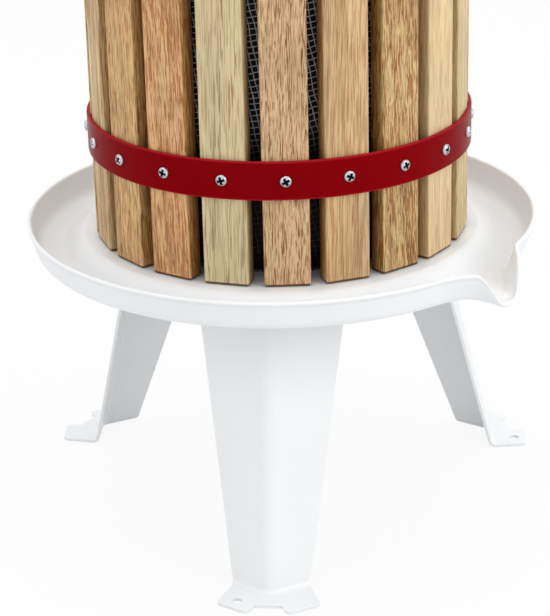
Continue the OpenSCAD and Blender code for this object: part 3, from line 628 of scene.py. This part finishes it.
def bar(outline, z0, z1, bevel, rows):
    """Closed bar: an outline of (x, y) carried up Z through the heights in rows, drawn in at both ends."""
    mid = (outline.max(0) + outline.min(0)) / 2
    half = (outline.max(0) - outline.min(0)) / 2
    turn = 0.3 * bevel
    z = np.concatenate([[z0, z0, z0 + turn], rows, [z1 - turn, z1, z1]])
    inset = np.concatenate([[bevel, bevel, turn], 0 * rows, [turn, bevel, bevel]])
    scale = 1 - inset[:, None] / half[None]
    scale[0] = scale[-1] = 0
    return patch(raised(mid + (outline - mid)[None] * scale[:, None], z), False, True)


# Each stave's colour, how strongly its figure and its pores show, and how many times shorter they are
STAVE_WOOD = [
    ("#d3b186", 0.3, 1.0, 1.8), ("#d4b384", 0.6, 0.6, 0.7), ("#d0b07a", 1.0, 1.0, 1.6),
    ("#e2c79a", 0.2, 0.45, 0.9), ("#d6bf92", 0.3, 0.5, 1.0), ("#d9ba88", 0.6, 0.6, 1.2),
    ("#dab98a", 0.4, 0.8, 1.8), ("#d6b280", 0.8, 0.5, 1.4), ("#d8bc90", 0.4, 0.9, 1.0),
    ("#dab98a", 0.5, 0.6, 1.2), ("#dcc094", 0.4, 0.7, 1.6), ("#d8b584", 0.7, 0.5, 1.0),
    ("#d8b686", 0.4, 0.8, 1.4), ("#d6b98c", 0.6, 0.6, 1.2), ("#dcc096", 0.4, 0.7, 1.0),
    ("#d8be8e", 0.5, 0.8, 1.5), ("#dcc091", 0.7, 0.9, 0.7), ("#dab47c", 0.5, 0.9, 1.5),
    ("#daae7a", 0.9, 0.7, 1.7), ("#d2c297", 0.08, 0.7, 0.6),
]


def stave_turn(i):
    """The turn that takes a stave from +X to its place round the basket."""
    return Matrix.Rotation(radians(-90 + BASKET_TURN + 360 * i / STAVES), 4, "Z")


def staves():
    """Oak staves: a rounded oblong carried up, each turned to its place round the basket.

    The faces are planed. The sides are painted with shade that goes browner with depth, an edge near each end
    has a painted highlight, and the ends are darkest: end grain with painted contact shadow.
    """
    half, bevel = STAVE_W / 2, STAVE_BEVEL
    straight, close = STAVE_H - 2 * bevel, np.array([0, 0.2, 1.2, 1.6])
    rows = np.concatenate([close, np.linspace(8, straight - 8, 10), straight - close[::-1]])
    section = oblong(BASKET_R - STAVE_T, BASKET_R, -half, half, STAVE_EDGE, 6)
    local = bar(section, STAVE_Z, STAVE_Z + STAVE_H, bevel, STAVE_Z + bevel + rows)
    x, z = local[0][:, 0], local[0][:, 2]
    # painted shade on the sides, darkening with depth between the staves
    side_shade = np.interp((BASKET_R - x) / STAVE_T, [0.03, 0.1, 0.9, 1.0], [1.0, 0.84, 0.45, 0.75])
    from_end = np.minimum(z - STAVE_Z, STAVE_Z + STAVE_H - z)
    # painted contact shadow at the ends, which are also end grain, and a painted highlight on an edge just
    # inside them
    edge = np.interp(from_end, [0.5 * bevel, bevel + 0.1, bevel + 0.3, bevel + 1.1, bevel + 1.5],
                     [0.25, 0.25, 1.2, 1.2, 1.0])
    # painted shade: green and blue fall faster than red, so what is darker is browner
    shade = (edge * side_shade)[:, None] ** [1.0, 1.4, 2.2, 0.0]
    for i, (tone, figure, pores, pace) in enumerate(STAVE_WOOD):
        pith = (BASKET_R - 10 - rng.uniform(25, 60), rng.uniform(-25, 25))
        tilt = rng.uniform(-0.03, 0.03, 2)
        place = board_place(local[0], i + 1, tilt, pith) * [1, 1, pace]
        piece(f"oak_stave_{i + 1:02d}", placed(local, stave_turn(i)), "basket", "oak", [f"stave_{i + 1:02d}"],
              sharp=60, attributes=grained(place, np.array(linear(tone)) * shade, figure, pores))


def hoops():
    """Flat bar bent round the staves: a rounded oblong carried round the axis, painted paler at the edges as
    a painted highlight.
    """
    half, edge_w = HOOP_W / 2, 1.3
    for name, z in HOOP_Z.items():
        box = [[HOOP_IR, z - half], [HOOP_OR, z - half], [HOOP_OR, z - half + edge_w],
               [HOOP_OR, z + half - edge_w], [HOOP_OR, z + half], [HOOP_IR, z + half]]
        part = turned(rounded(box, [0.3, 0.7, 0, 0, 0.7, 0.3], 6), 240)
        # painted highlight, strongest at both edges of the bar
        edge = 1 - ease((half - np.abs(part[0][:, 2] - z)) / edge_w)
        piece(name + "_hoop_bar", part, "basket", "red_paint", [name + "_hoop"], sharp=60,
              attributes={"edge": edge})


def screw_head():
    """Pan head with a cross recess, over a plain shank: the head's height is a dome less a cross-shaped pit.

    Also how deep in the recess each point is, from 0 to 1, which sets the painted shade there.
    """
    arm_half, arm_soft, arm_reach, reach_soft, pit_d, fall = 0.65, 0.25, 2.3, 0.4, 1.8, 0.55
    u = np.concatenate([np.linspace(0, 0.94, 24), [0.975, 1.0, 1.0]])[:, None]
    a = np.linspace(0, TURN, 64, endpoint=False)
    x, y = u * HEAD_R * np.cos(a), u * HEAD_R * np.sin(a)
    arm, far = np.minimum(np.abs(x), np.abs(y)), np.maximum(np.abs(x), np.abs(y))
    pit = (1 - ease((arm - arm_half) / arm_soft)) * (1 - ease((far - arm_reach) / reach_soft))
    height = HEAD_H * (1 - fall * u**4) - pit_d * pit
    height[-1] = 0.0
    shank = round_grid(np.array([[SCREW_R, 0], [SCREW_R, 2 * SCREW_R - SCREW_L], [0, -SCREW_L]]), a)
    part = patch(np.concatenate([np.stack([x, y, height], -1), shank.transpose(1, 0, 2)]), False, True)
    return part, np.concatenate([pit, np.zeros((3, len(a)))]).ravel()


def hoop_screws():
    """A screw at each stave on both hoops, each driven home at its own angle."""
    screw, recess_shade = screw_head()
    for name, z in HOOP_Z.items():
        out = Matrix.Translation((HOOP_OR, 0, z)) @ Matrix.Rotation(QUARTER, 4, "Y")
        parts = [placed(screw, stave_turn(i) @ out @ Matrix.Rotation(rng.uniform(0, TURN), 4, "Z"))
                 for i in range(STAVES)]
        # each head's recess is painted dark as painted shade
        piece(name + "_pan_screws", joined(parts), "basket", "zinc_plate", [name + "_hoop_screws"], sharp=45,
              attributes={"recess_shade": np.tile(recess_shade, STAVES)})


def bag():
    """The net's profile, out from the hole, up a slanted lower edge and up the staves, with slack folds.

    The radius is the profile's less a few waves round the basket that fade at the hem and the floor.
    """
    low, edge_r, foot, hem, hem_hold = SEAT_Z + BAG_LIFT, BAG_R - BAG_CORNER, 60, 40, 0.6
    # each wave's depth in mm, number round the bag, lean with height and start
    waves = ((0.45, 13, 0.02, 0.0), (0.25, 31, -0.013, 1.3))
    # heights above the tray where its white, and then the painted shade low on the net, begin to fade, and
    # over how many mm
    fades = ((0.6, 2), (80, 40))
    floor = np.linspace((BAG_HOLE_R, low), (edge_r, low), 24)[:-1]
    corner = np.linspace((edge_r, low), (BAG_R - BAG_GAP, low + BAG_RISE), 14)
    up = np.linspace(corner[-1], (BAG_R - BAG_GAP, BAG_TOP), 120)[1:]
    outline = np.concatenate([floor, corner, up])
    s = lengths(outline)
    a = np.linspace(0, TURN, 361)[:, None]
    r, z = outline[None, :, 0], outline[None, :, 1]
    rise = np.clip((z - SEAT_Z - BAG_CORNER) / foot, 0, 1)
    loose = rise * (1 - hem_hold * np.clip((z - BAG_TOP + hem) / hem, 0, 1))
    slack = sum(depth * (1 + np.sin(n * a + lean * z + lag)) for depth, n, lean, lag in waves)
    r_new = r - slack * loose
    points = np.stack([r_new * np.cos(a), r_new * np.sin(a), z + 0 * a], -1)
    weave = np.stack(np.broadcast_arrays(a * BAG_R, s[None], 0 * a), -1).reshape(-1, 3)
    # white where laid on the tray, and painted shade low on the net, each fading upwards
    laid, lower_shade = (np.broadcast_to(1 - ease((z - SEAT_Z - h) / fade), points.shape[:2]) for h, fade in fades)
    made = piece("net_bag", patch(points), "base", "bag_net", ["press_bag"], closed=False, sharp=80,
                 attributes={"weave": weave, "laid": laid, "lower_shade": lower_shade})


def spindle():
    """Threaded rod: radius falls by the thread's depth where the helix's phase is in the groove.

    The phase at angle a and height z is the fraction of z / lead - a / turn: root, flank, crest, flank.
    """
    crest_half, flank, runout, above, step = 0.16, 0.12, 4, 1.0, 0.2
    chamfer, tip_in, tip_down = 1.2, 0.4, 0.1
    z = np.arange(COLLAR_Z + COLLAR_H + above, SPINDLE_TOP - chamfer, LEAD / 14)
    a = np.linspace(0, TURN, 48, endpoint=False)
    phase = (z[None] / LEAD - a[:, None] / TURN) % 1.0
    trapezoid = np.clip((np.abs(phase - 0.5) - crest_half) / flank, 0, 1)
    fade = np.clip(np.minimum(z - z[0], z[-1] - z) / runout, 0, 1)[None]
    r = SPINDLE_R - THREAD_D * trapezoid * fade
    shaft = np.stack([r * np.cos(a[:, None]), r * np.sin(a[:, None]), z[None] + 0 * r], -1)
    low = rounded([[0, SPINDLE_FOOT], [SPINDLE_R, SPINDLE_FOOT], [SPINDLE_R, COLLAR_Z], [COLLAR_R, COLLAR_Z],
                   [COLLAR_R, COLLAR_Z + COLLAR_H], [SPINDLE_R, COLLAR_Z + COLLAR_H],
                   [SPINDLE_R, z[0] - step]], [0, 1.5, 0.2, 0.4, 1.6, 0.3, 0])
    top = np.array([[SPINDLE_R, z[-1] + step], [SPINDLE_R - chamfer, SPINDLE_TOP - tip_down],
                    [SPINDLE_R - chamfer - tip_in, SPINDLE_TOP], [0, SPINDLE_TOP]])
    part = patch(np.concatenate([round_grid(low, a), shaft, round_grid(top, a)], 1), True, False)
    piece("threaded_spindle", part, "base", "bright_steel", ["spindle"], sharp=30)


def ring_part(r0, r1, z0, z1, edge, n=96):
    """A flat ring with rounded edges, carried round the axis."""
    return turned(oblong(r0, r1, z0, z1, edge, 4), n)


def hex_part(r, bore, z0, z1):
    """A hexagon nut: radius in each direction is the flat's, cut back by a cone at both faces."""
    face_share, cone_share, half_side = 0.97, 0.16, np.pi / 6
    a = np.linspace(0, TURN, 96, endpoint=False)[:, None]
    inner = r * np.cos(half_side)
    flat = inner / np.cos((a + half_side) % (2 * half_side) - half_side)
    face_r, h = face_share * inner, cone_share * (z1 - z0)
    radius = np.concatenate([k + 0 * a for k in (bore, face_r, flat, flat, face_r, bore)], 1)
    z = np.array([z0, z0, z0 + h, z1 - h, z1, z1]) + 0 * a
    return patch(np.stack([radius * np.cos(a), radius * np.sin(a), z], -1), True, True)


def under_fastenings():
    """Plate, washers, nuts and studs below the tray, and the seal above it."""
    plate_z, bore, weld_gap = UNDER_Z - PLATE_T, SPINDLE_R + HOLE_GAP, 0.05
    washer_z = plate_z - SPINDLE_WASHER_T
    disc = ring_part(bore, PLATE_R, plate_z, UNDER_Z, [0.2, 1.0, 0.3, 0.2])
    seal = ring_part(bore, COLLAR_R, SEAT_Z, COLLAR_Z, 0.3)
    washer = ring_part(bore, SPINDLE_WASHER_R, washer_z, plate_z, 0.4)
    nut = hex_part(SPINDLE_NUT_R, SPINDLE_R + RUN_GAP, washer_z - SPINDLE_NUT_H, washer_z)
    piece("support_disc", disc, "base", "bright_steel", ["support_plate"])
    piece("rubber_seal", seal, "base", "seal_rubber", ["spindle_seal"])
    piece("spindle_flat_washer", washer, "base", "zinc_plate", ["spindle_washer"])
    piece("spindle_hex_nut", nut, "base", "zinc_plate", ["spindle_nut"])
    spots = [Matrix.Rotation(radians(az), 4, "Z")
             @ Matrix.Translation((*by_wing(FOLD_TOP_R, side, TAB_MIDDLE, STUD_OUT), UNDER_Z - LEG_T))
             for az in LEG_AZ.values() for side in (-1, 1)]
    stud = turned(oblong(0, STUD_R, LEG_T - STUD_L, LEG_T - weld_gap, [0, 0.6, 0, 0], 4), 32, False)
    washer = ring_part(STUD_R + HOLE_GAP, STUD_WASHER_R, -STUD_WASHER_T, 0, 0.25, 40)
    nut = hex_part(STUD_NUT_R, STUD_R + RUN_GAP, -STUD_WASHER_T - STUD_NUT_H, -STUD_WASHER_T)
    for name, part, node in (("weld_studs", stud, "leg_studs"), ("stud_washers", washer, "leg_washers"),
                             ("stud_nuts", nut, "leg_nuts")):
        piece(name, joined([placed(part, m) for m in spots]), "base", "zinc_plate", [node])


def wood_piece(name, part, node, slot, tone, figure, to_board, seed):
    """A wooden piece whose grain follows to_board, the matrix from the scene to the board's own axes."""
    tilt = rng.uniform(-0.02, 0.02, 2)
    pith = (rng.uniform(-20, 20), rng.uniform(40, 90))
    place = board_place(placed(part, to_board)[0], seed, tilt, pith)
    piece(name, part, "press_stack", slot, [node], sharp=50,
          attributes=grained(place, linear(tone), figure, 0.7))


def evenly(curve, n):
    """n points at even steps along a curve of (x, y)."""
    s = lengths(curve)
    return np.stack([np.interp(np.linspace(0, s[-1], n), s, curve[:, k]) for k in (0, 1)], -1)


def slab(outer, inner, z0, z1, edge):
    """A plate between two curves that run the same way, with rounded rims.

    Both faces are grids of straight lines from the inner curve to the outer one. Within edge of the rim each
    drops by a quarter circle, and a wall joins their rims.
    """
    n, m, end_step = 72, 26, 2.0
    far, near = evenly(outer, n), evenly(inner, n)
    w = np.linspace(0, 1, m)[None, :, None]
    plan = near[:, None] * (1 - w) + far[:, None] * w
    from_side = np.minimum(w[..., 0], 1 - w[..., 0]) * np.linalg.norm(far - near, axis=1)[:, None]
    from_end = np.minimum(np.arange(n), np.arange(n)[::-1])[:, None] * end_step
    d = np.minimum(from_side, from_end)
    drop = edge * (1 - np.sqrt(np.clip(1 - np.clip(1 - d / edge, 0, 1) ** 2, 0, 1)))
    upper, faces = patch(np.concatenate([plan, (z1 - drop)[..., None]], -1))
    lower, _ = patch(np.concatenate([plan, (z0 + drop)[..., None]], -1))
    index = np.arange(n * m).reshape(n, m)
    rim = np.concatenate([index[0, :-1], index[:-1, -1], index[-1, :0:-1], index[:0:-1, 0]])
    after = np.roll(rim, -1)
    wall = np.stack([rim, after, after + n * m, rim + n * m], -1)
    return np.concatenate([upper, lower]), np.concatenate([faces, faces[:, ::-1] + n * m, wall[:, ::-1]])


def boards_and_blocks():
    """Two half discs, plates between two arcs, and two crossed pairs of blocks, bars laid on their side."""
    a, b = (np.degrees(np.arcsin(BOARD_SPLIT / r)) for r in (BOARD_R, BOARD_BORE_R))
    for side, word, tone in ((1, "right", "#d0ac78"), (-1, "left", "#c8a26c")):
        outer = arc((0, 0), BOARD_R, a - 90, 90 - a, 64) * [side, 1]
        inner = arc((0, 0), BOARD_BORE_R, b - 90, 90 - b, 24) * [side, 1]
        wood_piece("half_board_" + word, slab(outer, inner, BOARD_Z, BOARD_Z + BOARD_T, 1.0),
                   "press_board_" + word, "oak", tone, 0.6, Matrix.Rotation(QUARTER, 4, "X"), 31 + side)
    section = oblong(-BLOCK_W / 2, BLOCK_W / 2, 0, BLOCK_H, 2.5)
    on_end = Matrix.Rotation(QUARTER, 4, "Z") @ Matrix.Rotation(QUARTER, 4, "X")
    pairs = (("lower", LOWER_L, Matrix(), ("front", "back"), ("#d9b488", "#cfa87a")),
             ("upper", UPPER_L, Matrix.Rotation(QUARTER, 4, "Z"), ("left", "right"), ("#d4ae82", "#dcb88e")))
    for up, (level, length, cross, words, tones) in enumerate(pairs):
        end = length / 2
        local = bar(section, -end, end, BLOCK_EDGE, np.linspace(BLOCK_EDGE - end, end - BLOCK_EDGE, 8))
        z = BOARD_Z + BOARD_T + up * BLOCK_H
        for side, word, tone in zip((-1, 1), words, tones):
            off = (side * BLOCK_OUT, 0, z) if up else (0, side * BLOCK_OUT, z)
            at = Matrix.Translation(off) @ cross @ on_end
            wood_piece(f"{level}_block_bar_{word}", placed(local, at), f"{level}_block_{word}", "beech",
                       tone, 0.45, at.inverted(), 40 + side + 5 * up)


def foot_and_rings():
    """The foot's outline carried round the axis, the thrust washer on it and the split ring that holds it."""
    bore = NECK_R + RUN_GAP
    foot = rounded([[RECESS_R, 0], [FOOT_R, 0], [FOOT_R, FOOT_EDGE_H], [SHOULDER_R, SHOULDER_H],
                    [HUB_R, HUB_H], [bore, HUB_H], [bore, RECESS_H], [RECESS_R, RECESS_H]],
                   [0.5, 2, 2, 3, 1.5, 0.4, 0.3, 0.3], 6)
    piece("pressure_disc", turned(foot + [0, FOOT_Z], 128), "press_foot", "red_casting", ["pressure_foot"],
          sharp=40)
    piece("thrust_ring", ring_part(bore, THRUST_R, FOOT_Z + THRUST_H, FOOT_Z + NUT_BASE, 0.4), "handle",
          "zinc_plate", ["thrust_washer"])
    gap = np.arcsin(RING_GAP / RING_MID_R)
    ring = oblong(GROOVE_R + RUN_GAP, RING_R, *RING_H, 0.3, 4) + [0, FOOT_Z]
    grid = round_grid(ring, np.linspace(gap, TURN - gap, 90))
    ends = np.broadcast_to(grid[[0, -1]].mean(1, keepdims=True), (2,) + grid.shape[1:])
    piece("spring_ring", patch(np.concatenate([ends[:1], grid, ends[1:]]), False, True), "handle",
          "zinc_plate", ["retaining_ring"])


def nut_and_arms():
    """The nut's outline carried round the axis, with a socket and its fillet each side, and in each an arm.

    A grip's radius swells along it as a sine, less a row of shallow ridges.
    """
    ways = {word: Matrix.Translation((0, 0, ARM_Z)) @ Matrix.Rotation(turn, 4, "Y")
            for word, turn in (("right", QUARTER), ("left", -QUARTER))}
    bore, arm_bore, (low, high) = SPINDLE_R + RUN_GAP, ARM_R + RUN_GAP, GROOVE
    nut = rounded([[bore, NECK_END], [NECK_R, NECK_END], [NECK_R, low], [GROOVE_R, low], [GROOVE_R, high],
                   [NECK_R, high], [NECK_R, NUT_BASE], [NUT_R, NUT_BASE], [NUT_R, NUT_TOP], [bore, NUT_TOP]],
                  [0.3, 0.8, 0, 0, 0, 0, 0.2, 1.5, 3, 0.8])
    socket = oblong(arm_bore, SOCKET_R, ARM_ROOT, SOCKET_REACH, [0, 0, 1.5, 0.6])
    fillet = rounded(FILLET, [0, 1, 2, 0])
    parts = [turned(nut + [0, FOOT_Z], 128)]
    parts += [placed(turned(outline, 64), way) for way in ways.values() for outline in (socket, fillet)]
    piece("cast_nut", joined(parts), "handle", "red_casting", ["press_nut"], sharp=40)

    rod = oblong(0, ARM_R, ARM_ROOT, ARM_REACH, [0, 1, 1, 0])
    u = np.linspace(0, 1, 60)
    swell_turn, ridged = radians(150), (u > 0.12) & (u < 0.9)
    ridges = RIDGE_D * np.clip(np.sin(u * TURN * RIDGES), 0, 1) ** 2 * ridged
    swell = GRIP_R + GRIP_SWELL * np.sin(swell_turn * u) - ridges
    bulge = np.stack([swell, GRIP_START + (ARM_REACH - GRIP_START) * u], -1)
    turn = np.radians(np.linspace(9, 90, 10))
    dome = np.stack([swell[-1] * np.cos(turn), ARM_REACH + GRIP_DOME * np.sin(turn)], -1)
    blind = [[0, ARM_REACH + RUN_GAP], [arm_bore, ARM_REACH + RUN_GAP]]
    grip = np.concatenate([[[arm_bore, MOUTH[0][1]]], MOUTH, bulge, dome, blind])
    for word, way in ways.items():
        piece("arm_rod_" + word, placed(turned(rod, 64, False), way), "handle", "bright_steel",
              ["handle_arm_" + word])
        piece("ridged_grip_" + word, placed(turned(grip, 72), way), "handle", "grip_plastic",
              ["grip_" + word])
    pin = oblong(0, PIN_R, -PIN_HALF, PIN_HALF, [0, 0.5, 0.5, 0], 4)
    pins = [placed(turned(pin, 32, False), Matrix.Translation((side * PIN_X, 0, ARM_Z))) for side in (-1, 1)]
    piece("cross_pins", joined(pins), "handle", "zinc_plate", ["arm_pins"])


def straight_seen(t):
    """1 for what the camera sees, straight or by way of metal and glass, 0 for light that is scattered."""
    rays = add(t, "LightPath").outputs
    seen = add(t, "Math", {0: rays["Is Camera Ray"], 1: rays["Is Glossy Ray"]}, operation="MAXIMUM")
    return add(t, "Math", {0: seen, 1: rays["Is Transmission Ray"]}, operation="MAXIMUM")


def world_and_floor():
    """A white world, and a pale floor that keeps the shadow and shows nearly white."""
    scene = bpy.context.scene
    scene.view_settings.view_transform = "Standard"
    scene.world = bpy.data.worlds.new("studio")
    scene.world.use_nodes = True
    t = scene.world.node_tree
    sky = t.nodes["Background"]
    sky.inputs["Color"].default_value = (1, 1, 1, 1)
    wire(t, sky, Strength=add(t, "MapRange", {"Value": straight_seen(t), "To Min": 0.88, "To Max": 1.0}))

    made, t, shader = start("studio_floor", Roughness=0.9, Base_Color=linear("#e2e2e2"))
    glow = add(t, "Emission", {"Color": (1, 1, 1, 1), "Strength": 1.0})
    share = add(t, "Math", {0: straight_seen(t), 1: 0.9}, operation="MULTIPLY")
    wire(t, t.nodes["Material Output"], Surface=add(t, "MixShader", {0: share, 1: shader, 2: glow}))
    mesh = bpy.data.meshes.new("floor")
    half, z = 6, -0.3 * MM
    corners = [(-half, -half, z), (half, -half, z), (half, half, z), (-half, half, z)]
    mesh.from_pydata(corners, [], [(0, 1, 2, 3)])
    mesh.materials.append(made)
    floor = shown("floor", mesh)


def lamps():
    """Soft square lamps at the right, the left, overhead and low in front, turned to the press's middle."""
    middle = np.array([0, 0, 0.28])
    for name, place, size, power in (("right", (1.85, -0.85, 1.35), 1.3, 14.0),
                                     ("left", (-1.6, -1.2, 1.4), 1.3, 4.2),
                                     ("top", (0.0, 0.2, 2.2), 1.6, 18.0),
                                     ("low", (0.2, -2.2, 0.3), 1.2, 1.6)):
        lamp = bpy.data.lights.new(name, "AREA")
        lamp.energy, lamp.size = power, size
        obj = shown(name, lamp)
        x, y, z = np.array(place) - middle
        obj.matrix_world = (Matrix.Translation(place) @ Matrix.Rotation(np.arctan2(y, x) + QUARTER, 4, "Z")
                            @ Matrix.Rotation(np.arctan2(np.hypot(x, y), z), 4, "X"))


def camera():
    """The photograph's camera: focal length from pixels over the picture's height, then place and turns."""
    focal_px, photo_h, sensor = 2195.2, 616, 24.0
    place, heading, tilt, roll = (0.1148, -1.4598, 0.7382), radians(4.74), radians(67.72), radians(-1.42)
    lens = bpy.data.cameras.new("camera")
    lens.sensor_fit, lens.sensor_height, lens.lens = "VERTICAL", sensor, focal_px / photo_h * sensor
    made = shown("camera", lens)
    made.matrix_world = (Matrix.Translation(place) @ Matrix.Rotation(heading, 4, "Z")
                         @ Matrix.Rotation(tilt, 4, "X") @ Matrix.Rotation(roll, 4, "Z"))
    bpy.context.scene.camera = made


tray()
for node in LEG_AZ:
    leg(node)
staves()
hoops()
hoop_screws()
bag()
spindle()
under_fastenings()
boards_and_blocks()
foot_and_rings()
nut_and_arms()
world_and_floor()
lamps()
camera()
